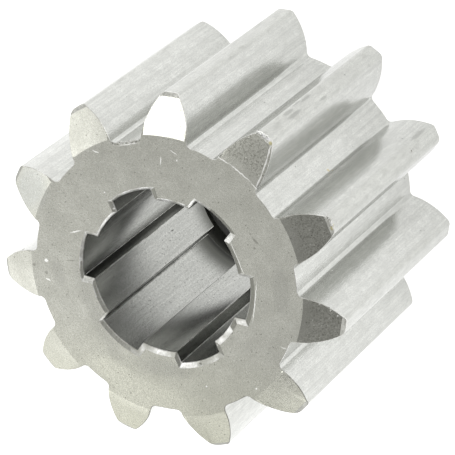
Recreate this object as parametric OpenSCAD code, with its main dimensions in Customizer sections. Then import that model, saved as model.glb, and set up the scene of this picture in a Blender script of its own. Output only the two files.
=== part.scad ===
// Gear wheel: a straight-toothed pinion with a grooved bore, in one piece.
// It stands on its rear end, with its axis along Z and the origin on the
// axis at the rear end face. The front end, with the sloped tooth ends, is up.
// One tooth and one land of the bore point along +X.
// Lengths are in millimetres and angles in degrees.

/* [Teeth] */
// Number of teeth round the wheel
tooth_count = 11; // [10:1:16]
// Module: pitch circle diameter divided by the number of teeth
tooth_module = 5; // [4.8:0.1:5.4]
// Pressure angle of the involute flanks
pressure_angle = 20; // [18:0.5:22]
// Thickness of a tooth along the pitch circle
tooth_thickness = 8.4; // [8.1:0.1:8.7]
// Height of a tooth above the pitch circle
tooth_addendum = 5.5; // [4.5:0.1:5.6]
// Depth of a tooth space below the pitch circle
tooth_dedendum = 2.5; // [2:0.1:4]
// Radius in the corner between a flank and the floor of a tooth space
root_fillet = 1; // [0.5:0.1:1.4]
// Radius on the long edges of a tooth's tip
tip_rounding = 1.2; // [0.4:0.1:1.3]
// Length of the teeth from end to end
wheel_length = 51.5; // [40:0.5:70]

/* [Front end] */
// Width of the flat end face outside the floors of the tooth spaces
face_margin = 1; // [0.5:0.1:2]
// Slope of the tooth ends, measured from the flat end face
end_slope = 22; // [10:1:35]
// Size of the 45 degree bevel where a tooth end meets the tip
tip_bevel = 0.65; // [0.3:0.05:1]

/* [Bore] */
// Number of grooves round the bore
groove_count = 6; // [4:1:6]
// Diameter across the lands between the grooves
land_diameter = 28; // [24:0.5:30]
// Diameter across the floors of the grooves
groove_diameter = 32; // [31:0.5:34]
// Width of each groove between its straight side walls
groove_width = 8; // [6:0.5:9]
// Width of the bevel round the front mouth of the bore
mouth_bevel_width = 0.9; // [0.5:0.1:1.2]
// Depth of the bevel round the front mouth of the bore
mouth_bevel_depth = 0.35; // [0.2:0.05:0.8]
// Diameter of the round recess in the rear end
recess_diameter = 36; // [35:0.5:38]
// Depth of the round recess in the rear end
recess_depth = 7.5; // [3:0.5:12]

/* [Hidden] */
$fn = 128;

// How far a cutting shape runs past the surface that it cuts
overrun = 1;
// How far a rounding arc reaches into the arc that it blends into
blend = 0.002;
// Extra length on the corners of a rounding's outline, past its two ends
corner_reach = 0.3;

// Circles of the teeth
pitch_r = tooth_count * tooth_module / 2;
base_r = pitch_r * cos(pressure_angle);
tip_r = pitch_r + tooth_addendum;
root_r = pitch_r - tooth_dedendum;

// Each flank is one arc through three points of its involute, at these
// shares of the way from the innermost radius that the involute has to the tip
flank_shares = [0.04, 0.5, 0.95];
flank_start_r = max(base_r, root_r);

// The involute function, with its result in degrees
function involute(angle) = tan(angle) * 180 / PI - angle;

// Half the angle that a tooth fills at a radius
function half_angle(r) =
    tooth_thickness / pitch_r * 90 / PI
    + involute(pressure_angle) - involute(acos(base_r / r));

// The point of a tooth's upper flank at a radius
function flank_point(r) = [r * cos(half_angle(r)), r * sin(half_angle(r))];

// The point of the upper flank at a share of the way from its start to the tip
function flank_share(share) =
    flank_point(flank_start_r + share * (tip_r - flank_start_r));

// The centre of the circle through three points
function turned(v) = [-v[1], v[0]];
function circle_centre(a, b, c) =
    a + turned((b - a) * ((c - a) * (c - a)) - (c - a) * ((b - a) * (b - a)))
    / (2 * (b - a) * turned(a - c));

// The meeting point of two circles that lies to the left of the way from
// the first centre to the second
function meeting_point(p, rp, q, rq) =
    let (d = norm(q - p))
    let (along = (rp * rp - rq * rq + d * d) / (2 * d))
    p + (q - p) * along / d
    + turned(q - p) * sqrt(rp * rp - along * along) / d;

// The point at a distance from one point towards another
function towards(from, to, distance) =
    from + (to - from) * distance / norm(to - from);

origin = [0, 0];
flank_centre = circle_centre(
    flank_share(flank_shares[0]), flank_share(flank_shares[1]),
    flank_share(flank_shares[2]));
flank_r = norm(flank_share(flank_shares[1]) - flank_centre);

// Where the flank's arc meets the root circle and the tip circle
root_corner = meeting_point(origin, root_r, flank_centre, flank_r);
tip_corner = meeting_point(origin, tip_r, flank_centre, flank_r);

// Centres of the arcs in the tooth's root corner and on its tip corner
fillet_centre = meeting_point(
    origin, root_r + root_fillet - blend,
    flank_centre, flank_r + root_fillet - blend);
rounding_centre = meeting_point(
    origin, tip_r - tip_rounding + blend,
    flank_centre, flank_r - tip_rounding + blend);

// Radii of the front end, from the flat face out to the tips
face_r = root_r + face_margin;
slope_end_r = tip_r - tip_bevel;

// Heights of the front end's edges
slope_end_z = wheel_length - (slope_end_r - face_r) * tan(end_slope);
bevel_end_z = slope_end_z - tip_bevel;

// Radii of the bore
land_r = land_diameter / 2;
groove_r = groove_diameter / 2;
recess_r = recess_diameter / 2;

// How far the bevel round the bore's mouth widens for each millimetre it rises
mouth_slope = mouth_bevel_width / mouth_bevel_depth;

// Outline of one tooth along +X: two flank arcs and the tip circle
module tooth_outline() {
    difference() {
        intersection() {
            translate(flank_centre)
                circle(r = flank_r);
            mirror([0, 1])
                translate(flank_centre)
                    circle(r = flank_r);
            circle(r = tip_r);
        }
        tip_corner_waste();
        mirror([0, 1])
            tip_corner_waste();
    }
}

// What the rounding takes off one tip corner of a tooth
module tip_corner_waste() {
    reach = tip_rounding + corner_reach;
    difference() {
        polygon([
            rounding_centre,
            towards(rounding_centre, 2 * rounding_centre, reach),
            towards(rounding_centre, tip_corner, 2 * reach),
            towards(rounding_centre, 2 * rounding_centre - flank_centre, reach)
        ]);
        translate(rounding_centre)
            circle(r = tip_rounding);
    }
}

// What the fillet adds in one root corner of a tooth
module root_corner_fill() {
    reach = root_fillet + corner_reach;
    difference() {
        polygon([
            fillet_centre,
            towards(fillet_centre, flank_centre, reach),
            towards(root_corner, flank_centre / 2, corner_reach),
            towards(fillet_centre, origin, reach)
        ]);
        translate(fillet_centre)
            circle(r = root_fillet);
    }
}

// The toothed bar that the wheel is cut from, longer than the wheel at both ends
module toothed_bar() {
    bar_length = wheel_length + 2 * overrun;
    translate([0, 0, -overrun]) {
        cylinder(r = root_r, h = bar_length);
        for (i = [0 : tooth_count - 1])
            rotate(i * 360 / tooth_count) {
                linear_extrude(height = bar_length)
                    tooth_outline();
                linear_extrude(height = bar_length)
                    root_corner_fill();
                mirror([0, 1, 0])
                    linear_extrude(height = bar_length)
                        root_corner_fill();
            }
    }
}

// The turned shape round the whole wheel: flat rear end, flat front face,
// sloped tooth ends and a bevel at the tips
module turned_envelope() {
    rotate_extrude()
        polygon([
            [0, 0],
            [tip_r + overrun, 0],
            [tip_r + overrun, bevel_end_z - overrun],
            [slope_end_r, slope_end_z],
            [face_r, wheel_length],
            [0, wheel_length]
        ]);
}

// Outline of the bore: a round hole with straight-sided grooves
module bore_outline() {
    circle(r = land_r);
    intersection() {
        circle(r = groove_r);
        for (i = [0 : groove_count - 1])
            rotate((i + 0.5) * 360 / groove_count)
                translate([0, -groove_width / 2])
                    square([groove_diameter, groove_width]);
    }
}

// Cone that bevels a round edge of the mouth, from a radius outwards
module mouth_cone(r) {
    height = mouth_bevel_depth + overrun;
    cylinder(r1 = r, r2 = r + height * mouth_slope, h = height);
}

// Wedge that bevels the two straight edges of the groove along +X
module groove_wedge() {
    height = mouth_bevel_depth + overrun;
    bottom_half = groove_width / 2;
    top_half = bottom_half + height * mouth_slope;
    rotate([90, 0, 90])
        linear_extrude(height = groove_diameter)
            polygon([
                [-bottom_half, 0],
                [bottom_half, 0],
                [top_half, height],
                [-top_half, height]
            ]);
}

// The bevel round the whole front mouth of the bore, grooves and lands alike
module mouth_bevel() {
    translate([0, 0, wheel_length - mouth_bevel_depth]) {
        mouth_cone(land_r);
        intersection() {
            mouth_cone(groove_r);
            for (i = [0 : groove_count - 1])
                rotate((i + 0.5) * 360 / groove_count)
                    groove_wedge();
        }
    }
}

module gear_wheel() {
    color("silver")
        difference() {
            intersection() {
                toothed_bar();
                turned_envelope();
            }
            translate([0, 0, -overrun])
                linear_extrude(height = wheel_length + 2 * overrun)
                    bore_outline();
            mouth_bevel();
            translate([0, 0, -overrun])
                cylinder(r = recess_r, h = recess_depth + overrun);
        }
}

gear_wheel();
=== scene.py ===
import math

import bpy
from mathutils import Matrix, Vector


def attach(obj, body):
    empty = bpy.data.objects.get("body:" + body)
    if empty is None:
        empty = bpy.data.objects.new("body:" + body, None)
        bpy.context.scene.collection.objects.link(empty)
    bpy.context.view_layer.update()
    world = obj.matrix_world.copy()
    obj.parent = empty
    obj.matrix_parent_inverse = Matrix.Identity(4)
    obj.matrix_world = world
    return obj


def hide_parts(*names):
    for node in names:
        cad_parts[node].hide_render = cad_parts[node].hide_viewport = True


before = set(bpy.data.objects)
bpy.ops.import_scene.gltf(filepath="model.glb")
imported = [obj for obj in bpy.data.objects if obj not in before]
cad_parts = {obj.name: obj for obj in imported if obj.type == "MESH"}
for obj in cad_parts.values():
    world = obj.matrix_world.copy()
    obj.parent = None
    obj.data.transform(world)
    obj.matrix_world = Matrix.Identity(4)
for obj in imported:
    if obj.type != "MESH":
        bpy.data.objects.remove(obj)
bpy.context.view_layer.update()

# Camera
# The place, the turn and the long lens were fitted to points picked on the photograph, so the
# gear wheel lies in the frame as it does there. Nothing is out of focus.

camera_data = bpy.data.cameras.new("camera")
camera_data.sensor_width = 36
camera_data.lens = 283.35
camera_data.clip_start = 0.01
camera = bpy.data.objects.new("camera", camera_data)
camera.location = (0.326153, 0.116357, 0.564963)
camera.rotation_euler = [math.radians(angle) for angle in (-22.2392, 24.6382, -24.7710)]
bpy.context.scene.collection.objects.link(camera)
bpy.context.scene.camera = camera
bpy.context.scene.view_settings.view_transform = "Standard"


# Gear wheel
# A straight-toothed pinion of bare steel. The real one is turned as a blank with a sloped
# front rim, its teeth are hobbed and its grooved bore is broached, and it is one piece.

tooth_count = 11
pitch_r = 0.0275
pressure_angle = math.radians(20)
base_r = pitch_r * math.cos(pressure_angle)
tip_r = 0.0330
root_r = 0.0250
tooth_thickness = 0.0084
root_fillet = 0.0010
tip_rounding = 0.0012
wheel_length = 0.0515
# How far a cutting tool runs past the surface that it cuts
overrun = 0.0010
# Two places that are closer than this are one
touching = 0.000001
on_axis = (0, 0)


def select_only(piece):
    """Selects one object alone, and makes it the active one."""
    bpy.ops.object.select_all(action="DESELECT")
    piece.select_set(True)
    bpy.context.view_layer.objects.active = piece


def start_point(x, y, z):
    """Starts an outline as a small plane that is merged to its one first point."""
    if bpy.context.mode == "OBJECT":
        bpy.ops.object.select_all(action="DESELECT")
    else:
        bpy.ops.mesh.select_all(action="DESELECT")
    bpy.ops.mesh.primitive_plane_add(size=0.001)
    bpy.ops.object.mode_set(mode="EDIT")
    bpy.ops.mesh.merge(type="CENTER")
    bpy.ops.transform.translate(value=(x, y, z))


def draw_arc(centre, start, end, steps):
    """Draws the outline on from its last point, along an arc from start to end."""
    from_centre = Vector(start) - Vector(centre)
    to_centre = Vector(end) - Vector(centre)
    turn = -from_centre.angle_signed(to_centre)
    bpy.ops.mesh.spin(
        steps=steps,
        angle=turn,
        center=(centre[0], centre[1], 0),
        axis=(0, 0, -1),
    )


def repeat_outline(piece, count):
    """Mirrors half an outline over the X axis, repeats it round Z and joins it up."""
    bpy.ops.object.mode_set(mode="OBJECT")
    mirror = piece.modifiers.new("other_half", "MIRROR")
    mirror.use_axis = (False, True, False)
    mirror.merge_threshold = touching
    bpy.ops.object.modifier_apply(modifier=mirror.name)
    bpy.ops.object.mode_set(mode="EDIT")
    bpy.ops.mesh.select_all(action="SELECT")
    bpy.ops.mesh.spin(
        steps=count,
        dupli=True,
        angle=2 * math.pi,
        center=(0, 0, 0),
        axis=(0, 0, -1),
    )
    bpy.ops.mesh.select_all(action="SELECT")
    bpy.ops.mesh.remove_doubles(threshold=touching)


def involute(angle):
    """The involute function."""
    return math.tan(angle) - angle


def flank_point(share):
    """The point of the involute flank at a share of the way from base circle to tip."""
    r = base_r + share * (tip_r - base_r)
    half_angle = tooth_thickness / pitch_r / 2
    half_angle += involute(pressure_angle) - involute(math.acos(base_r / r))
    return Vector((r * math.cos(half_angle), r * math.sin(half_angle)))


def circle_centre(a, b, c):
    """The centre of the circle through three points."""
    ab = b - a
    ac = c - a
    turned = (ab * ac.length_squared - ac * ab.length_squared).orthogonal()
    return a + turned / (2 * ab.cross(ac))


def meeting_point(q, p_radius, q_radius):
    """The point at p_radius from the axis and q_radius from q, to the left of the way to q."""
    distance = q.length
    along = (p_radius ** 2 - q_radius ** 2 + distance ** 2) / (2 * distance)
    across = math.sqrt(p_radius ** 2 - along ** 2)
    way = q.normalized()
    return way * along + way.orthogonal() * across


# Each flank is one arc through three points of its involute
flank_low, flank_half, flank_high = [flank_point(share) for share in (0.04, 0.5, 0.95)]
flank_centre = circle_centre(flank_low, flank_half, flank_high)
flank_r = (flank_half - flank_centre).length
rounding_centre = meeting_point(flank_centre, tip_r - tip_rounding, flank_r - tip_rounding)
fillet_centre = meeting_point(flank_centre, root_r + root_fillet, flank_r + root_fillet)
tip_end = rounding_centre.normalized() * tip_r
flank_top = flank_centre + (rounding_centre - flank_centre).normalized() * flank_r
flank_foot = flank_centre + (fillet_centre - flank_centre).normalized() * flank_r
root_start = fillet_centre.normalized() * root_r
half_pitch = math.pi / tooth_count
space_middle = (root_r * math.cos(half_pitch), root_r * math.sin(half_pitch))

# Half a tooth is drawn from the middle of its tip to the middle of the space beside it
start_point(tip_r, 0, -overrun)
gear = bpy.context.object
gear.name = "gear_wheel_steel"
draw_arc(on_axis, (tip_r, 0), tip_end, steps=2)
draw_arc(rounding_centre, tip_end, flank_top, steps=8)
draw_arc(flank_centre, flank_top, flank_foot, steps=14)
draw_arc(fillet_centre, flank_foot, root_start, steps=8)
draw_arc(on_axis, root_start, space_middle, steps=4)
repeat_outline(gear, tooth_count)
bpy.ops.mesh.edge_face_add()
bpy.ops.mesh.extrude_region_move(
    TRANSFORM_OT_translate={"value": (0, 0, wheel_length + 2 * overrun)}
)
bpy.ops.mesh.select_all(action="SELECT")
bpy.ops.mesh.normals_make_consistent(inside=False)
bpy.ops.object.mode_set(mode="OBJECT")

# The turned blank: flat ends, a front rim that slopes by 22 degrees, and a small bevel
face_r = 0.0260
slope_end_r = 0.03235
end_slope = math.radians(22)
slope_end_z = wheel_length - (slope_end_r - face_r) * math.tan(end_slope)
bevel_foot_z = slope_end_z - (tip_r + overrun - slope_end_r)
round_sides = 176


def pick_points(piece, wanted):
    """Selects the points of a piece that pass a test, in edit mode."""
    bpy.ops.object.mode_set(mode="EDIT")
    bpy.ops.mesh.select_all(action="DESELECT")
    bpy.ops.object.mode_set(mode="OBJECT")
    for point in piece.data.vertices:
        point.select = wanted(point.co)
    bpy.ops.object.mode_set(mode="EDIT")


def turn_on(rise, old_r, new_r):
    """Extrudes the selected round end to a new height and radius."""
    bpy.ops.mesh.extrude_region_move(TRANSFORM_OT_translate={"value": (0, 0, rise)})
    bpy.ops.transform.resize(value=(new_r / old_r, new_r / old_r, 1))


bpy.ops.object.select_all(action="DESELECT")
bpy.ops.mesh.primitive_cylinder_add(
    vertices=round_sides,
    radius=tip_r + overrun,
    depth=bevel_foot_z,
    location=(0, 0, bevel_foot_z / 2),
)
blank = bpy.context.object
bpy.ops.object.transform_apply(location=True, rotation=False, scale=False)
pick_points(blank, lambda co: co.z > bevel_foot_z - touching)
turn_on(slope_end_z - bevel_foot_z, tip_r + overrun, slope_end_r)
turn_on(wheel_length - slope_end_z, slope_end_r, face_r)
bpy.ops.object.mode_set(mode="OBJECT")


def cut(piece, tool, operation):
    """Cuts a piece with a tool, puts the tool away, and gives the points a fixed order.

    A cut leaves them in a chance order, so they are sorted by their distance from the cursor.
    It stands off the wheel's lines of symmetry meanwhile, so that no two distances are alike.
    """
    select_only(piece)
    boolean = piece.modifiers.new("cut", "BOOLEAN")
    boolean.operation = operation
    boolean.solver = "EXACT"
    boolean.object = tool
    bpy.ops.object.modifier_apply(modifier=boolean.name)
    bpy.data.objects.remove(tool)
    bpy.context.scene.cursor.location = (0.131, 0.047, 0.213)
    bpy.ops.object.mode_set(mode="EDIT")
    bpy.ops.mesh.select_all(action="SELECT")
    bpy.ops.mesh.sort_elements(type="CURSOR_DISTANCE", elements={"VERT", "EDGE", "FACE"})
    bpy.ops.object.mode_set(mode="OBJECT")
    bpy.context.scene.cursor.location = (0, 0, 0)


cut(gear, blank, "INTERSECT")

# The broach: a round bar with six straight-sided ribs, flared above for the mouth's bevel
land_r = 0.0140
groove_r = 0.0160
groove_half = 0.0040
groove_count = 6
half_groove_turn = math.pi / groove_count
mouth_width = 0.00076
mouth_depth = 0.00035
mouth_slope = mouth_width / mouth_depth
mouth_foot_z = wheel_length - mouth_depth
flare_z = wheel_length + overrun


def draw_half_rib(grow, z):
    """Draws half a rib at a height, from its top to the land's middle, grown outwards."""
    rib_angle = math.asin((groove_half + grow) / (groove_r + grow))
    land_angle = math.asin((groove_half + grow) / (land_r + grow))
    middle = half_groove_turn
    rib_end = Vector((math.cos(rib_angle), math.sin(rib_angle))) * (groove_r + grow)
    land_end = Vector((math.cos(land_angle), math.sin(land_angle))) * (land_r + grow)
    land_middle = Vector((math.cos(middle), math.sin(middle))) * (land_r + grow)
    start_point(groove_r + grow, 0, z)
    draw_arc(on_axis, (groove_r + grow, 0), rib_end, steps=11)
    bpy.ops.mesh.extrude_region_move(
        TRANSFORM_OT_translate={"value": (land_end - rib_end).to_3d()}
    )
    draw_arc(on_axis, land_end, land_middle, steps=10)


draw_half_rib(0, mouth_foot_z)
broach = bpy.context.object
draw_half_rib((flare_z - mouth_foot_z) * mouth_slope, flare_z)
bpy.ops.mesh.select_all(action="SELECT")
bpy.ops.mesh.bridge_edge_loops()
pick_points(broach, lambda co: abs(co.z - mouth_foot_z) < touching)
bpy.ops.mesh.extrude_region_move(
    TRANSFORM_OT_translate={"value": (0, 0, -mouth_foot_z - overrun)}
)
repeat_outline(broach, groove_count)
bpy.ops.transform.rotate(
    value=half_groove_turn, orient_axis="Z", center_override=(0, 0, 0)
)
for end_z in (-overrun, flare_z):
    pick_points(broach, lambda co: abs(co.z - end_z) < touching)
    bpy.ops.mesh.edge_face_add()
# The mouth's bevel was cut a little off centre, so it is wider below than above. The flare's
# top is pushed further than the mouth, as it stands above it.
mouth_shift_x = 0.00015
mouth_shift_y = -0.00030
flare = (flare_z - mouth_foot_z) / mouth_depth
bpy.ops.transform.translate(value=(mouth_shift_x * flare, mouth_shift_y * flare, 0))
bpy.ops.mesh.select_all(action="SELECT")
bpy.ops.mesh.normals_make_consistent(inside=False)
bpy.ops.object.mode_set(mode="OBJECT")
cut(gear, broach, "DIFFERENCE")

# The round recess behind the grooves
recess_r = 0.0180
recess_depth = 0.0075
bpy.ops.object.select_all(action="DESELECT")
bpy.ops.mesh.primitive_cylinder_add(
    vertices=round_sides,
    radius=recess_r,
    depth=recess_depth + overrun,
    location=(0, 0, (recess_depth - overrun) / 2),
)
cut(gear, bpy.context.object, "DIFFERENCE")

# Small leftovers of the cuts are cleaned. Every sharp edge is then broken by 0.15 mm, and the
# foot of the mouth's bevel by 0.28 mm. The breaks are applied once the finishes are there.
leftover = 0.00006
sliver = 0.00001
sharp = math.radians(30)
widest_break = 0.00040
edge_share = 0.38
mouth_foot_share = 0.32
same_height = 0.00001
# The slots of the finishes, in the order in which they follow the turned steel below
scraped, hobbed, broached, filed, side_shaded = range(1, 6)

select_only(gear)
bpy.ops.object.mode_set(mode="EDIT")
bpy.ops.mesh.select_all(action="SELECT")
bpy.ops.mesh.remove_doubles(threshold=leftover)
bpy.ops.mesh.dissolve_degenerate(threshold=sliver)
bpy.ops.mesh.select_all(action="DESELECT")
bpy.ops.mesh.select_mode(type="EDGE")
bpy.ops.mesh.edges_select_sharp(sharpness=sharp)
bpy.ops.transform.edge_bevelweight(value=edge_share)
bpy.ops.mesh.select_all(action="DESELECT")
bpy.ops.object.mode_set(mode="OBJECT")
for rim in gear.data.edges:
    ends = [gear.data.vertices[index].co for index in rim.vertices]
    rim.select = all(
        abs(co.z - mouth_foot_z) < same_height and co.xy.length < recess_r for co in ends
    )
bpy.ops.object.mode_set(mode="EDIT")
bpy.ops.transform.edge_bevelweight(value=mouth_foot_share)
bpy.ops.mesh.select_mode(type="VERT")
bpy.ops.object.mode_set(mode="OBJECT")
edge_break = gear.modifiers.new("edge_break", "BEVEL")
edge_break.offset_type = "WIDTH"
edge_break.width = widest_break
edge_break.segments = 3
edge_break.limit_method = "WEIGHT"
edge_break.use_clamp_overlap = False
edge_break.material = scraped


def linear(hex_colour):
    """Turns an sRGB hex colour into the linear one that shaders take."""
    shares = [int(hex_colour[at:at + 2], 16) / 255 for at in (1, 3, 5)]
    turned = [s / 12.92 if s <= 0.04045 else ((s + 0.055) / 1.055) ** 2.4 for s in shares]
    return (*turned, 1)


def add_node(tree, kind, settings, links=None):
    """Adds a node of a kind, sets its sockets or settings, and links its inputs."""
    node = tree.nodes.new(kind)
    for key, value in settings.items():
        if isinstance(key, int) or key in node.inputs:
            node.inputs[key].default_value = value
        else:
            setattr(node, key, value)
    for key, output in (links or {}).items():
        tree.links.new(output, node.inputs[key])
    return node


def new_finish(name, roughness):
    """Starts a bare metal finish, and gives its tree, shader and Object coordinates."""
    material = bpy.data.materials.new(name)
    material.use_nodes = True
    gear.data.materials.append(material)
    tree = material.node_tree
    shader = tree.nodes["Principled BSDF"]
    shader.inputs["Metallic"].default_value = 1
    shader.inputs["Roughness"].default_value = roughness
    place = add_node(tree, "ShaderNodeTexCoord", {}).outputs["Object"]
    return tree, shader, place


def grain(tree, place, size, detail=2.0, contrast=(0.35, 0.65)):
    """Gives noise whose patches are about one size across, stretched to run from 0 to 1."""
    noise = add_node(
        tree,
        "ShaderNodeTexNoise",
        {"Scale": 1 / size, "Detail": detail, "Roughness": 0.6},
        {"Vector": place},
    )
    return add_node(
        tree,
        "ShaderNodeMapRange",
        {"From Min": contrast[0], "From Max": contrast[1]},
        {"Value": noise.outputs[0]},
    ).outputs[0]


def pits(tree, place, spacing, radius):
    """Gives small round pits of a radius with soft rims, about one to each spacing."""
    cells = add_node(
        tree, "ShaderNodeTexVoronoi", {"Scale": 1 / spacing, "Randomness": 1.0}, {"Vector": place}
    )
    return add_node(
        tree,
        "ShaderNodeMapRange",
        {"From Min": radius * 1.3 / spacing, "From Max": radius * 0.6 / spacing},
        {"Value": cells.outputs["Distance"]},
    ).outputs[0]


def marks(tree, place, places):
    """Gives single marks, each with its middle, its turn in degrees and half its sizes in mm.

    Their outlines are ragged: noise moves each point by up to 0.15 mm to either side.
    """
    ragged_by = 0.0003
    ragged = add_node(tree, "ShaderNodeTexNoise", {"Scale": 1 / 0.0006}, {"Vector": place})
    near = add_node(
        tree,
        "ShaderNodeVectorMath",
        {"operation": "MULTIPLY_ADD", 1: (ragged_by, ragged_by, ragged_by)},
        {0: ragged.outputs["Color"], 2: place},
    ).outputs[0]
    found = None
    for x, y, z, turn, *halves in places:
        own = add_node(
            tree,
            "ShaderNodeMapping",
            {
                "vector_type": "TEXTURE",
                "Location": [middle / 1000 + ragged_by / 2 for middle in (x, y, z)],
                "Rotation": (0, 0, math.radians(turn)),
                "Scale": [half / 1000 for half in halves],
            },
            {"Vector": near},
        )
        reach = add_node(
            tree, "ShaderNodeVectorMath", {"operation": "LENGTH"}, {0: own.outputs[0]}
        )
        mark = add_node(
            tree,
            "ShaderNodeMapRange",
            {"From Min": 1.3, "From Max": 0.7},
            {"Value": reach.outputs["Value"]},
        ).outputs[0]
        if found:
            mark = add_node(
                tree, "ShaderNodeMath", {"operation": "MAXIMUM"}, {0: found, 1: mark}
            ).outputs[0]
        found = mark
    return found


def ramp(tree, place, way, start, end):
    """Gives a share that runs from 0 to 1 along a way, between two distances from the middle."""
    along = add_node(
        tree, "ShaderNodeVectorMath", {"operation": "DOT_PRODUCT", 1: way}, {0: place}
    )
    return add_node(
        tree,
        "ShaderNodeMapRange",
        {"From Min": start, "From Max": end},
        {"Value": along.outputs["Value"]},
    ).outputs[0]


def from_axis(tree, place):
    """Gives the distance from the wheel's axis."""
    flat = add_node(tree, "ShaderNodeMapping", {"Scale": (1, 1, 0)}, {"Vector": place})
    reach = add_node(tree, "ShaderNodeVectorMath", {"operation": "LENGTH"}, {0: flat.outputs[0]})
    return reach.outputs["Value"]


def layer(tree, under, over, share, most=1.0):
    """Lays a hex colour over another colour, as strong as most where the share is 1."""
    strength = add_node(tree, "ShaderNodeMapRange", {"To Min": 0, "To Max": most}, {"Value": share})
    mix = add_node(
        tree, "ShaderNodeMix", {"data_type": "RGBA", 7: linear(over)}, {0: strength.outputs[0]}
    )
    if isinstance(under, str):
        mix.inputs[6].default_value = linear(under)
    else:
        tree.links.new(under, mix.inputs[6])
    return mix.outputs[2]


def surface(tree, shader, colour, height, depth):
    """Gives the shader its colour, and a relief of a depth in metres."""
    tree.links.new(colour, shader.inputs["Base Color"])
    relief = add_node(tree, "ShaderNodeBump", {"Distance": depth}, {"Height": height})
    tree.links.new(relief.outputs[0], shader.inputs["Normal"])


gear.data.materials.clear()

# Turned steel: satin, with a fine grain, small pores, light scratches painted near white as painted
# glints, and dark smudges.
# Low on the wheel the skin of old oil gives it a touch of yellow. The real grain is about a
# tenth of a millimetre, and it is drawn twice as coarse so that it shows.
tree, shader, place = new_finish("turned_steel", 0.25)
cloud = grain(tree, place, 0.0035, 4.0)
fine = grain(tree, place, 0.00024, 1.0, (0.3, 0.7))
gloss = grain(tree, place, 0.00055, 3.0, (0.3, 0.7))
dark_pits = pits(tree, place, 0.0012, 0.00011)
light_specks = pits(tree, place, 0.0019, 0.00009)
oil = ramp(tree, place, (-0.45, -0.9, 0), 0.010, 0.034)
scratches_and_glints = marks(tree, place, [
    (3.7, 24.2, 51.5, -8, 1.80, 0.10, 0.3),
    (-3.0, 24.7, 51.5, -34, 0.60, 0.12, 0.3),
    (8.4, 19.8, 51.5, -115, 0.75, 0.09, 0.3),
    (11.4, 20.5, 51.5, -51, 0.65, 0.08, 0.3),
    (11.4, 19.0, 51.5, 0, 0.16, 0.16, 0.3),
    (-0.9, -20.8, 51.5, 0, 0.14, 0.14, 0.3),
    (8.3, -23.5, 51.5, 0, 0.18, 0.18, 0.3),
    (-13.3, 12.3, 51.5, -5, 1.05, 0.12, 0.3),
    (-21.3, 8.9, 51.5, 0, 0.32, 0.32, 0.3),
    (-22.5, 5.5, 51.5, -42, 0.42, 0.13, 0.3),
    (16.6, -17.8, 51.3, -39, 0.75, 0.12, 0.3),
    (-4.6, 17.4, 51.5, 0, 0.13, 0.13, 0.3),
    (19.6, 17.0, 51.5, -50, 1.50, 0.11, 0.3),
    (22.0, 13.8, 51.5, -58, 2.20, 0.11, 0.3),
    (23.8, 10.2, 51.5, -67, 1.30, 0.10, 0.3),
    (24.5, 11.3, 50.9, 48, 1.50, 0.12, 1.5),
    (26.2, 13.4, 50.0, 53, 1.50, 0.12, 1.5),
    (27.5, 15.3, 49.2, 58, 1.20, 0.12, 1.5),
    (14.8, -8.6, 51.5, 60, 3.60, 0.09, 0.3),
    (14.95, -0.3, 51.5, 90, 3.20, 0.07, 0.3),
])

# The sloped tooth ends on the right are blotched with dark and light spots
sloped = ramp(tree, place, (0, 0, 1), 0.0513, 0.0508)
right = ramp(tree, place, (1, 0, 0), 0.016, 0.020)
blotched = add_node(
    tree, "ShaderNodeMath", {"operation": "MULTIPLY"}, {0: sloped, 1: right}
).outputs[0]
dark_spots = grain(tree, place, 0.00028, 2.0, (0.48, 0.66))
dark_spots = add_node(
    tree, "ShaderNodeMath", {"operation": "MULTIPLY"}, {0: blotched, 1: dark_spots}
).outputs[0]
light_spots = pits(tree, place, 0.0008, 0.00012)
light_spots = add_node(
    tree, "ShaderNodeMath", {"operation": "MULTIPLY"}, {0: blotched, 1: light_spots}
).outputs[0]

# The face is lighter low on the left and darker round the bore, one tooth end is free of oil
# and another is smooth
patches = marks(tree, place, [
    (-12.6, -20.2, 51.5, -33, 9.0, 3.4, 9.0),
    (-17.5, -14.0, 51.5, -48, 5.0, 2.2, 9.0),
])
shades = marks(tree, place, [
    (-15.6, -1.5, 51.5, 0, 1.9, 9.5, 9.0),
    (-7.5, -15.6, 51.5, -25, 5.0, 1.5, 9.0),
    (20.5, -8.0, 51.5, 70, 4.0, 1.6, 9.0),
    (-20.0, 6.0, 51.5, 80, 2.6, 1.2, 9.0),
])
clean_end = marks(tree, place, [
    (-19.0, 21.9, 50.2, 131, 4.2, 4.2, 1.8),
])
smooth_end = marks(tree, place, [
    (12.0, -26.4, 50.0, -65, 4.6, 4.4, 2.4),
])
smudges = marks(tree, place, [
    (19.6, 1.6, 51.5, -64, 0.75, 0.20, 0.3),
    (18.9, 0.5, 51.5, 0, 0.17, 0.17, 0.3),
    (-16.6, 7.6, 51.5, -15, 0.85, 0.10, 0.3),
    (-24.0, 8.8, 51.5, 0, 0.28, 0.28, 0.3),
    (-22.3, 6.8, 51.5, 0, 0.26, 0.26, 0.3),
    (6.3, -16.0, 51.5, 0, 0.13, 0.13, 0.3),
    (-10.7, 13.7, 51.5, 0, 0.14, 0.14, 0.3),
    (20.2, -0.3, 51.5, 0, 0.11, 0.11, 0.3),
    (-10.3, -15.3, 51.5, 0, 0.13, 0.13, 0.3),
    (-20.1, 10.5, 51.5, 0, 0.13, 0.13, 0.3),
])
colour = layer(tree, "#BEBEB5", "#CBCBC2", cloud)
colour = layer(tree, colour, "#C8C8B4", oil, 0.8)
colour = layer(tree, colour, "#C1C3BF", clean_end, 0.8)
colour = layer(tree, colour, "#DEDECF", patches, 0.7)
colour = layer(tree, colour, "#A2A29C", shades, 0.35)
colour = layer(tree, colour, "#A6A69C", fine, 0.48)
colour = layer(tree, colour, "#606054", dark_spots, 0.55)
colour = layer(tree, colour, "#FAFAF0", light_spots, 0.6)
colour = layer(tree, colour, "#66665C", dark_pits, 0.8)
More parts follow.
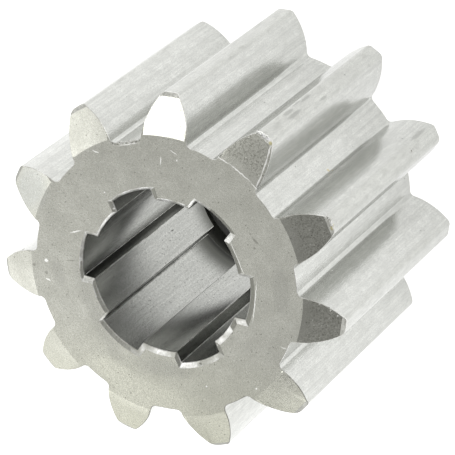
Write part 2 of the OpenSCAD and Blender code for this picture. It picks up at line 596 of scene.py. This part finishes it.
colour = layer(tree, colour, "#6C6C62", smudges, 0.45)
colour = layer(tree, colour, "#F2F2EC", light_specks, 0.5)
# Scratches are painted near white: partly their own bare metal, partly a painted glint
colour = layer(tree, colour, "#FFFFFA", scratches_and_glints)
roughness = add_node(
    tree, "ShaderNodeMapRange", {"To Min": 0.20, "To Max": 0.30}, {"Value": gloss}
).outputs[0]
tree.links.new(roughness, shader.inputs["Roughness"])
kept_relief = add_node(
    tree, "ShaderNodeMapRange", {"To Min": 1, "To Max": 0.1}, {"Value": smooth_end}
).outputs[0]
relief = add_node(
    tree, "ShaderNodeMath", {"operation": "MULTIPLY"}, {0: fine, 1: kept_relief}
).outputs[0]
surface(tree, shader, colour, relief, 0.000003)

# Scraped edges: every broken edge is rougher and mostly brighter than the faces beside it. Those low
# on the wheel are painted dark, as painted shade on edges that face away from the light.
tree, shader, place = new_finish("scraped_edge_steel", 0.45)
worn = grain(tree, place, 0.0024, 3.0)
fine = grain(tree, place, 0.00035, 2.0)
oily = marks(tree, place, [
    (27.9, 17.1, 48.6, 0, 0.30, 0.30, 0.30),
    (33.0, -0.2, 48.3, 0, 0.30, 0.30, 0.30),
])
# Edges low on the wheel get painted shade, as they face away from the light
painted_low_shade = ramp(tree, place, (-0.3, -0.95, 0), 0.0165, 0.020)
colour = layer(tree, "#B0B0A8", "#FFFFFC", worn)
colour = layer(tree, colour, "#9A9A92", fine, 0.35)
colour = layer(tree, colour, "#55544A", painted_low_shade, 0.75)
colour = layer(tree, colour, "#B9B276", oily, 0.7)
surface(tree, shader, colour, fine, 0.000010)

# Hobbed steel: the cutter leaves faint streaks along the teeth, under a fine grain that is drawn
# twice as coarse as it is. The crests are duller and scuffed.
tree, shader, place = new_finish("hobbed_steel", 0.22)
along = add_node(tree, "ShaderNodeMapping", {"Scale": (1, 1, 0.02)}, {"Vector": place}).outputs[0]
streak = grain(tree, along, 0.0004, 2.0)
band = grain(tree, along, 0.0016, 3.0, (0.45, 0.75))
stretched = add_node(tree, "ShaderNodeMapping", {"Scale": (1, 1, 0.6)}, {"Vector": place}).outputs[0]
cloud = grain(tree, stretched, 0.0016, 4.0)
fine = grain(tree, place, 0.00024, 1.0, (0.3, 0.7))
dark_pits = pits(tree, place, 0.0026, 0.00009)
spots = marks(tree, place, [
    (23.4, 8.8, 35.7, 0, 0.12, 0.12, 0.12),
    (24.4, 5.3, 15.9, 0, 0.10, 0.10, 0.10),
    (-1.0, 30.0, 38.5, 0, 0.10, 0.10, 0.10),
    (16.1, 19.1, 24.4, 0, 0.15, 0.15, 0.15),
    (27.8, 17.8, 14.6, 0, 0.17, 0.17, 0.17),
    (31.0, 2.7, 9.7, 0, 0.16, 0.16, 0.16),
    (24.3, -6.0, 2.1, 0, 0.13, 0.13, 0.13),
    (27.5, -14.3, 9.9, 0, 0.11, 0.11, 0.11),
    (27.7, -14.7, 9.0, 0, 0.11, 0.11, 0.11),
    (15.3, -24.3, 7.7, 0, 0.11, 0.11, 0.11),
    (15.1, 23.2, 0.3, 0, 0.13, 0.13, 0.13),
])
smears = marks(tree, place, [
    (27.8, 17.8, 36.8, 0, 0.35, 0.35, 2.60),
    (27.2, 18.6, 37.6, 0, 0.35, 0.35, 1.90),
    (27.2, 18.6, 30.0, 0, 0.25, 0.25, 1.90),
    (27.0, 18.9, 33.2, 0, 0.20, 0.20, 1.70),
    (28.2, 17.0, 26.0, 0, 0.22, 0.22, 1.60),
    (32.3, 1.9, 6.1, -37, 0.45, 0.25, 2.90),
    (12.4, 30.5, 15.7, 0, 0.16, 0.16, 1.65),
])
stains = marks(tree, place, [
    (24.6, 4.8, 27.6, 0, 0.34, 0.34, 0.34),
    (25.0, 4.4, 27.0, 0, 0.20, 0.20, 0.20),
])
# Small nicks painted near white: partly bare metal, partly a painted glint
nicks_and_glints = marks(tree, place, [
    (23.8, -10.1, 38.3, 0, 0.15, 0.15, 0.15),
    (14.5, 21.0, 14.9, 0, 0.15, 0.15, 0.15),
    (23.7, 7.8, 8.2, 0, 0.11, 0.11, 0.11),
])
crest = add_node(
    tree,
    "ShaderNodeMapRange",
    {"From Min": 0.0322, "From Max": 0.0328},
    {"Value": from_axis(tree, place)},
).outputs[0]
drawn = add_node(tree, "ShaderNodeMapping", {"Scale": (1, 1, 0.3)}, {"Vector": place}).outputs[0]
scuffs = grain(tree, drawn, 0.0011, 4.0, (0.50, 0.72))
scuffs = add_node(
    tree, "ShaderNodeMath", {"operation": "MULTIPLY"}, {0: crest, 1: scuffs}
).outputs[0]
colour = layer(tree, "#C4C5C1", "#D5D6D2", cloud)
colour = layer(tree, colour, "#A9AAA3", crest, 0.3)
colour = layer(tree, colour, "#8A8B84", scuffs, 0.5)
colour = layer(tree, colour, "#A9AAA5", band, 0.35)
colour = layer(tree, colour, "#AFB0AC", streak, 0.45)
colour = layer(tree, colour, "#A2A39F", fine, 0.55)
colour = layer(tree, colour, "#7F807B", dark_pits, 0.35)
colour = layer(tree, colour, "#777873", smears, 0.4)
colour = layer(tree, colour, "#B7A878", stains, 0.6)
colour = layer(tree, colour, "#55564F", spots, 0.7)
colour = layer(tree, colour, "#F4F4F0", nicks_and_glints)
surface(tree, shader, colour, fine, 0.000006)

# Broached steel: the bore has the broach's streaks along it and dark pinholes. The groove walls
# beside the left land carry stripes of painted shade. At its far end the grooves are painted dark, a
# painted reflection of the shade under the wheel, and the recess behind them is painted a mid grey
# as painted shade.
tree, shader, place = new_finish("broached_steel", 0.22)
along = add_node(tree, "ShaderNodeMapping", {"Scale": (1, 1, 0.04)}, {"Vector": place}).outputs[0]
streak = grain(tree, along, 0.0005, 2.0)
fine = grain(tree, place, 0.00026, 1.0, (0.3, 0.7))
dark_pits = pits(tree, place, 0.0009, 0.00011)
pinholes = marks(tree, place, [
    (-14.0, 1.1, 21.0, 0, 0.12, 0.12, 0.60),
    (-14.0, 0.8, 25.4, 0, 0.12, 0.12, 0.12),
    (-14.0, -0.2, 22.9, 0, 0.12, 0.12, 0.12),
    (-15.3, -4.7, 13.3, 0, 0.12, 0.12, 0.12),
    (-15.3, -4.6, 26.0, 0, 0.12, 0.12, 0.12),
    (-14.1, -7.6, 27.6, 0, 0.12, 0.12, 0.12),
    (-7.6, -11.8, 18.2, 0, 0.12, 0.12, 0.12),
    (-14.0, 0.1, 35.0, 0, 0.12, 0.12, 0.12),
    (-14.5, -6.8, 36.2, 0, 0.12, 0.12, 0.12),
    (-13.8, -2.1, 40.5, 0, 0.12, 0.12, 0.12),
])
# Dark stripes of painted shade on the groove walls beside the left land
painted_wall_shade = marks(tree, place, [
    (-15.1, 4.1, 28.0, 150, 1.05, 0.25, 60.0),
    (-15.1, -4.1, 28.0, 30, 1.05, 0.25, 60.0),
])
# The far end of the bore is painted dark along a slanted line, a painted reflection of the shade
# under the wheel, darkest at the grooves' ends
height = add_node(tree, "ShaderNodeSeparateXYZ", {}, {0: place}).outputs["Z"]
end = add_node(
    tree,
    "ShaderNodeMath",
    {"operation": "MULTIPLY_ADD", 1: -1.73},
    {0: from_axis(tree, place), 2: height},
).outputs[0]
painted_far_shade = add_node(
    tree,
    "ShaderNodeMapRange",
    {"interpolation_type": "SMOOTHSTEP", "From Min": -0.0109, "From Max": -0.0179},
    {"Value": end},
).outputs[0]
painted_deepest_shade = add_node(
    tree, "ShaderNodeMapRange", {"From Min": -0.0180, "From Max": -0.0196}, {"Value": end}
).outputs[0]
# The recess is painted a mid grey as painted shade
hollow = ramp(tree, place, (0, 0, 1), 0.0078, 0.0070)
colour = layer(tree, "#C0C1BD", "#A0A19D", streak, 0.5)
colour = layer(tree, colour, "#83847F", fine, 0.6)
colour = layer(tree, colour, "#464742", dark_pits, 0.85)
colour = layer(tree, colour, "#3A3B37", pinholes, 0.85)
colour = layer(tree, colour, "#50514C", painted_wall_shade, 0.95)
colour = layer(tree, colour, "#4A4B46", painted_far_shade)
colour = layer(tree, colour, "#1C1D19", painted_deepest_shade)
colour = layer(tree, colour, "#80817A", hollow)
surface(tree, shader, colour, fine, 0.000006)

# Filed bevels: the tooth tips were eased by hand and stay dull. Those on the left and below are
# painted darker as painted shade. Two on the right are rubbed bright and painted white as a painted
# highlight, with a trace of old oil.
tree, shader, place = new_finish("filed_bevel_steel", 0.62)
worn = grain(tree, place, 0.0014, 3.0)
fine = grain(tree, place, 0.00030, 2.0)
oily = marks(tree, place, [
    (32.75, -0.5, 48.45, 0, 0.35, 0.45, 0.35),
    (28.05, 16.5, 48.60, 0, 0.30, 0.30, 0.35),
])
# Two rubbed tips are painted white: partly bright worn metal, partly a painted highlight
rubbed_and_highlit = marks(tree, place, [
    (32.95, 0.5, 48.40, 90, 1.60, 0.22, 0.25),
    (27.30, 18.2, 48.45, 124, 1.70, 0.28, 0.30),
])
# Tip bevels on the left and below are painted darker as painted shade
shaded_left_tips = ramp(tree, place, (-0.8, -0.3, 0), -0.010, 0.004)
colour = layer(tree, "#C6C6BF", "#F2F2EC", worn)
colour = layer(tree, colour, "#A0A09A", shaded_left_tips, 0.65)
colour = layer(tree, colour, "#8F8F88", fine, 0.4)
colour = layer(tree, colour, "#C9C083", oily, 0.7)
colour = layer(tree, colour, "#FFFFFF", rubbed_and_highlit)
surface(tree, shader, colour, fine, 0.000010)

# Side-shaded bevel: the mouth's left and right sides are painted a darker grey as painted shade,
# darker still towards the right
tree, shader, place = new_finish("side_shaded_bevel_steel", 0.55)
fine = grain(tree, place, 0.00030, 2.0)
# The right side is painted darker still, as painted shade
right_side_shade = ramp(tree, place, (1, 0, 0), -0.010, 0.010)
colour = layer(tree, "#B6B6AE", "#94948C", right_side_shade)
colour = layer(tree, colour, "#77776F", fine, 0.5)
surface(tree, shader, colour, fine, 0.000010)

select_only(gear)
bpy.ops.object.modifier_apply(modifier=edge_break.name)


def give_finish(slot, wanted):
    """Gives a finish to the faces that aren't edge breaks and that pass a test."""
    for face in gear.data.polygons:
        if face.material_index != scraped and wanted(face.center, face.normal):
            face.material_index = slot


def on_teeth(centre, normal):
    """Tells whether a face is on the flanks, crests or floors of the teeth."""
    return abs(normal.z) < 0.3 and centre.xy.length > root_r - overrun


def in_bore(centre, normal):
    """Tells whether a face is on the upright walls of the bore."""
    return abs(normal.z) < 0.3 and centre.xy.length < groove_r + overrun


give_finish(hobbed, on_teeth)
give_finish(broached, in_bore)

# Nicks: the wheel has been knocked about, and small bites are out of its edges. Each is cut
# with a dented ball, at a place on the wheel and with a radius, both in millimetres.
nicks = [
    (1.1, 25.2, 51.6, 0.40),
    (2.5, 25.1, 51.7, 0.45),
    (3.3, 25.0, 51.6, 0.35),
    (4.4, 24.8, 51.7, 0.45),
    (5.4, 24.7, 51.6, 0.30),
    (-28.0, 11.8, 48.7, 0.38),
    (-25.8, 11.9, 50.0, 0.42),
    (27.1, -13.5, 50.0, 0.40),
    (25.6, -11.6, 50.9, 0.30),
    (28.3, -15.0, 49.3, 0.28),
    (14.6, -22.1, 51.7, 0.42),
    (15.1, -23.3, 51.0, 0.30),
    (-12.9, -21.9, 51.7, 0.38),
    (27.7, 18.2, 48.6, 0.36),
    (26.4, 19.2, 48.9, 0.36),
    (28.4, 16.0, 49.1, 0.30),
    (33.0, 1.7, 48.6, 0.42),
    (33.1, -0.4, 48.5, 0.30),
    (11.9, 30.1, 49.2, 0.32),
    (15.2, 29.2, 48.9, 0.26),
    (-6.2, 31.8, 49.2, 0.30),
    (-22.8, 23.9, 48.7, 0.36),
    (-16.4, 24.6, 49.6, 0.30),
    (-28.7, -4.7, 50.6, 0.30),
    (-5.5, -32.0, 49.2, 0.30),
    (4.2, -14.2, 51.4, 0.26),
    (-4.0, -14.1, 51.3, 0.22),
    (9.6, -10.6, 51.4, 0.26),
    (-4.2, 14.2, 51.4, 0.26),
    (9.5, 10.9, 51.4, 0.30),
    (-0.2, -16.5, 51.5, 0.26),
    (-13.9, 2.7, 51.3, 0.22),
    (33.1, 0.6, 12.0, 0.35),
    (29.9, 14.3, -0.2, 0.45),
    (5.0, -32.5, 0.0, 0.40),
    (-31.6, 9.0, -0.1, 0.45),
    (-12.2, 22.0, -0.2, 0.40),
]


def dented_balls(places):
    """Gives one piece of small balls in the scraped finish, dented by a third of their radius."""
    bpy.ops.object.select_all(action="DESELECT")
    for number, (x, y, z, radius) in enumerate(places):
        if number:
            bpy.ops.mesh.select_all(action="DESELECT")
        bpy.ops.mesh.primitive_ico_sphere_add(subdivisions=2, radius=radius / 1000)
        if not number:
            balls = bpy.context.object
            bpy.ops.object.mode_set(mode="EDIT")
        bpy.ops.transform.vertex_random(offset=radius / 3000, seed=number)
        bpy.ops.transform.translate(value=(x / 1000, y / 1000, z / 1000))
    bpy.ops.object.mode_set(mode="OBJECT")
    for finish in gear.data.materials:
        balls.data.materials.append(finish)
    for face in balls.data.polygons:
        face.material_index = scraped
    return balls


cut(gear, dented_balls(nicks), "DIFFERENCE")

# Burrs: metal that the knocks pushed up stands on some edges, and is added in the same way
burrs = [
    (32.65, 1.6, 48.60, 0.26),
    (32.85, 0.8, 48.45, 0.32),
    (32.95, -0.1, 48.45, 0.30),
    (26.50, 19.1, 48.65, 0.24),
    (27.05, 18.6, 48.50, 0.32),
    (27.75, 17.8, 48.45, 0.30),
    (1.60, 24.85, 51.45, 0.24),
    (2.40, 24.80, 51.50, 0.32),
    (3.20, 24.60, 51.50, 0.26),
    (4.20, 24.45, 51.50, 0.34),
    (5.20, 24.30, 51.50, 0.28),
    (5.90, 24.20, 51.50, 0.18),
    (25.90, -12.2, 50.45, 0.17),
    (27.00, -14.0, 49.75, 0.19),
    (27.60, -15.4, 49.25, 0.15),
]
cut(gear, dented_balls(burrs), "UNION")

# Curved faces are shaded smooth where they turn by less than 12.5 degrees from one to the next,
# and edge breaks always
smooth_turn = math.radians(12.5)
bpy.ops.object.shade_smooth_by_angle(angle=smooth_turn)
bpy.ops.object.mode_set(mode="EDIT")
bpy.ops.mesh.select_mode(type="FACE")
bpy.ops.mesh.select_all(action="DESELECT")
bpy.ops.object.mode_set(mode="OBJECT")
for face in gear.data.polygons:
    face.select = face.material_index == scraped
bpy.ops.object.mode_set(mode="EDIT")
bpy.ops.mesh.mark_sharp(clear=True)
bpy.ops.object.mode_set(mode="OBJECT")


def on_tips(centre, normal):
    """Tells whether a face is on the 45 degree bevels at the tips."""
    return 0.5 < normal.z < 0.8 and centre.xy.length > slope_end_r - 0.00015


give_finish(filed, on_tips)

# The mouth's bevel takes painted shade where it faces left or right and the scraped finish above and
# below, and the recess with its edges is like the bore
hollow_top_z = 0.0090
hollow_rim_r = 0.0182
for face in gear.data.polygons:
    on_mouth = 0.7 < face.normal.z < 0.99 and face.center.xy.length < recess_r
    if on_mouth and face.material_index != scraped:
        face.material_index = side_shaded if abs(face.normal.y) < 0.25 else scraped
    if face.center.z < hollow_top_z and face.center.xy.length < hollow_rim_r:
        face.material_index = broached
normals = gear.modifiers.new("even_shading", "WEIGHTED_NORMAL")
normals.keep_sharp = True
normals.mode = "FACE_AREA"
normals.weight = 100
bpy.ops.object.modifier_apply(modifier=normals.name)
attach(gear, "root")
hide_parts("gear_wheel")

# Floor
# A plain white table. It shines for the eye and for the metal's reflections, so both see a white
# background, and its paint keeps the wheel's shadow. Its glow is painted as well: a painted shadow
# under the wheel, a painted pool of light in the middle of the bore, and a glow painted a little
# dimmer towards +Y.
bpy.ops.object.select_all(action="DESELECT")
bpy.ops.mesh.primitive_plane_add(size=4)
floor = bpy.context.object
floor.name = "floor"
floor_paint = bpy.data.materials.new("white_paint")
floor_paint.use_nodes = True
floor.data.materials.append(floor_paint)
tree = floor_paint.node_tree
shader = tree.nodes["Principled BSDF"]
shader.inputs["Base Color"].default_value = linear("#E7E7E7")
shader.inputs["Roughness"].default_value = 0.8
shader.inputs["Specular IOR Level"].default_value = 0
shader.inputs["Emission Color"].default_value = linear("#FFFFFF")
place = add_node(tree, "ShaderNodeTexCoord", {}).outputs["Object"]
reach = add_node(tree, "ShaderNodeVectorMath", {"operation": "LENGTH"}, {0: place}).outputs["Value"]
bore_middle = add_node(
    tree,
    "ShaderNodeMapping",
    {"vector_type": "TEXTURE", "Location": (-0.0008, 0, 0), "Scale": (0.0128, 0.0145, 1)},
    {"Vector": place},
).outputs[0]
bore_reach = add_node(
    tree, "ShaderNodeVectorMath", {"operation": "LENGTH"}, {0: bore_middle}
).outputs["Value"]
# A painted pool of light in the middle of the bore
painted_light_pool = add_node(
    tree,
    "ShaderNodeMapRange",
    {
        "interpolation_type": "SMOOTHSTEP",
        "From Min": 0.85,
        "From Max": 1.15,
        "To Min": 1.22,
        "To Max": 0,
    },
    {"Value": bore_reach},
).outputs[0]
# The glow stops under the wheel, a painted shadow
open_floor = add_node(
    tree,
    "ShaderNodeMapRange",
    {"interpolation_type": "SMOOTHSTEP", "From Min": 0.0190, "From Max": 0.0210},
    {"Value": reach},
).outputs[0]
# The glow is painted a little dimmer towards +Y
across = add_node(tree, "ShaderNodeSeparateXYZ", {}, {0: place}).outputs[1]
painted_side_light = add_node(
    tree,
    "ShaderNodeMapRange",
    {"From Min": -0.045, "From Max": 0.045, "To Min": 0.95, "To Max": 0.83},
    {"Value": across},
).outputs[0]
open_floor = add_node(
    tree, "ShaderNodeMath", {"operation": "MULTIPLY"}, {0: open_floor, 1: painted_side_light}
).outputs[0]
rays = add_node(tree, "ShaderNodeLightPath", {}).outputs
seen = add_node(
    tree,
    "ShaderNodeMath",
    {"operation": "MAXIMUM"},
    {0: rays["Is Camera Ray"], 1: rays["Is Glossy Ray"]},
).outputs[0]
seen = add_node(
    tree, "ShaderNodeMath", {"operation": "MAXIMUM"}, {0: seen, 1: rays["Is Transmission Ray"]}
).outputs[0]
glow = add_node(tree, "ShaderNodeMath", {"operation": "ADD"}, {0: painted_light_pool, 1: open_floor}).outputs[0]
glow = add_node(tree, "ShaderNodeMath", {"operation": "MULTIPLY"}, {0: glow, 1: seen}).outputs[0]
tree.links.new(glow, shader.inputs["Emission Strength"])

# Light
# A plain grey studio with fourteen dim round softboxes. Twelve are small and stand mostly on the
# left, and two large ones light the tooth ends from the right.
world = bpy.data.worlds.new("studio")
world.use_nodes = True
world.node_tree.nodes["Background"].inputs["Color"].default_value = linear("#FFFFFF")
world.node_tree.nodes["Background"].inputs["Strength"].default_value = 0.365
bpy.context.scene.world = world
wheel_middle = Vector((0, 0, 0.03))
light_distance = 0.6
# Azimuth and elevation in degrees, power in watts and width in metres
softboxes = [
    (-170.0, 9.4, 0.165, 0.26),
    (-149.9, 20.4, 0.182, 0.26),
    (180.0, 22.0, 0.098, 0.26),
    (-97.4, 24.7, 0.513, 0.26),
    (165.0, 30.0, 0.159, 0.26),
    (-129.8, 32.3, 0.181, 0.26),
    (145.2, 35.5, 0.234, 0.26),
    (-162.3, 40.5, 0.220, 0.26),
    (-142.2, 56.6, 0.031, 0.26),
    (116.0, 60.0, 0.520, 0.26),
    (-170.0, 60.0, 0.041, 0.26),
    (62.0, 77.0, 0.060, 0.26),
    (-10.0, 26.0, 0.300, 0.56),
    (60.0, 28.0, 0.650, 0.56),
]
for azimuth, elevation, watts, size in softboxes:
    softbox_data = bpy.data.lights.new("softbox", "AREA")
    softbox_data.shape = "DISK"
    softbox_data.size = size
    softbox_data.energy = watts
    softbox = bpy.data.objects.new("softbox", softbox_data)
    across = math.cos(math.radians(elevation))
    way = Vector((
        across * math.cos(math.radians(azimuth)),
        across * math.sin(math.radians(azimuth)),
        math.sin(math.radians(elevation)),
    ))
    softbox.location = wheel_middle + way * light_distance
    softbox.rotation_euler = way.to_track_quat("Z", "Y").to_euler()
    softbox.visible_camera = False
    bpy.context.scene.collection.objects.link(softbox)
